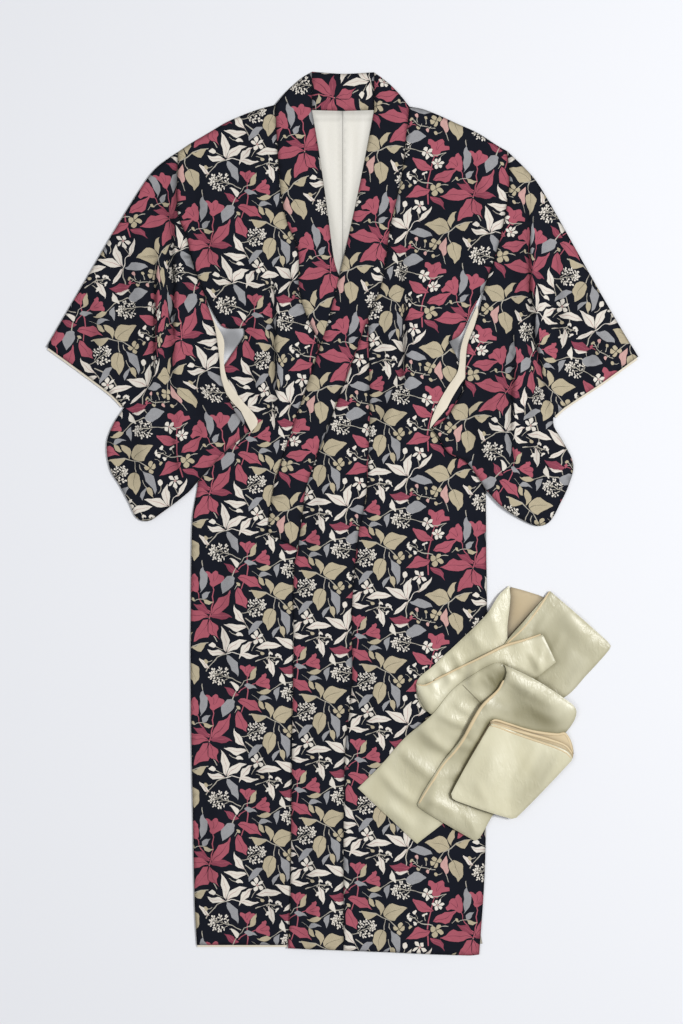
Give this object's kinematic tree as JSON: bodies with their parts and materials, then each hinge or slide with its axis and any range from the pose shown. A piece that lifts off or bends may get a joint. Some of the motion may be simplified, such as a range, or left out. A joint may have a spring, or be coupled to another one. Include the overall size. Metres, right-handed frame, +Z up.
{
  "type": "kimono robe with its sash, laid flat",
  "caption": "Lined kimono robe laid flat with the left front over the right, wide sleeves, a crossed collar and a folded satin sash on the skirt.",
  "frame": {"origin": "middle of the garment's box, on the surface that it lies on", "axes": "+Y from the hem up to the collar, +X towards the wearer's left, +Z up out of the cloth"},
  "size_m": [1.0636, 1.5896, 0.0256],
  "materials": {
    "print_silk": "matte silk crepe with an all-over leaf and flower print",
    "lining_silk": "smooth plain silk lining",
    "sash_satin": "soft lustrous satin",
    "sash_lining": "plain silk"
  },
  "bodies": {
    "root": {"back_left": "print_silk", "back_right": "print_silk", "front_left": "print_silk", "front_right": "print_silk", "overlap_left": "print_silk", "overlap_right": "print_silk", "collar_back": "print_silk", "collar_left": "print_silk", "collar_right": "print_silk", "sleeve_left_back": "print_silk", "sleeve_left_front": "print_silk", "sleeve_right_back": "print_silk", "sleeve_right_front": "print_silk", "lining_back_left": "lining_silk", "lining_back_right": "lining_silk", "lining_sleeve_left": "lining_silk", "lining_sleeve_right": "lining_silk", "lining_cuff_left": "lining_silk", "lining_cuff_right": "lining_silk", "lining_hem": "lining_silk", "sash_turn": "sash_lining", "sash_rise": "sash_satin", "sash_fall": "sash_satin", "sash_end": "sash_satin", "sash_long": "sash_satin", "sash_loop": "sash_satin", "sash_bundle_low": "sash_satin", "sash_bundle_middle": "sash_satin", "sash_bundle_top": "sash_satin"}
  },
  "joints": []
}
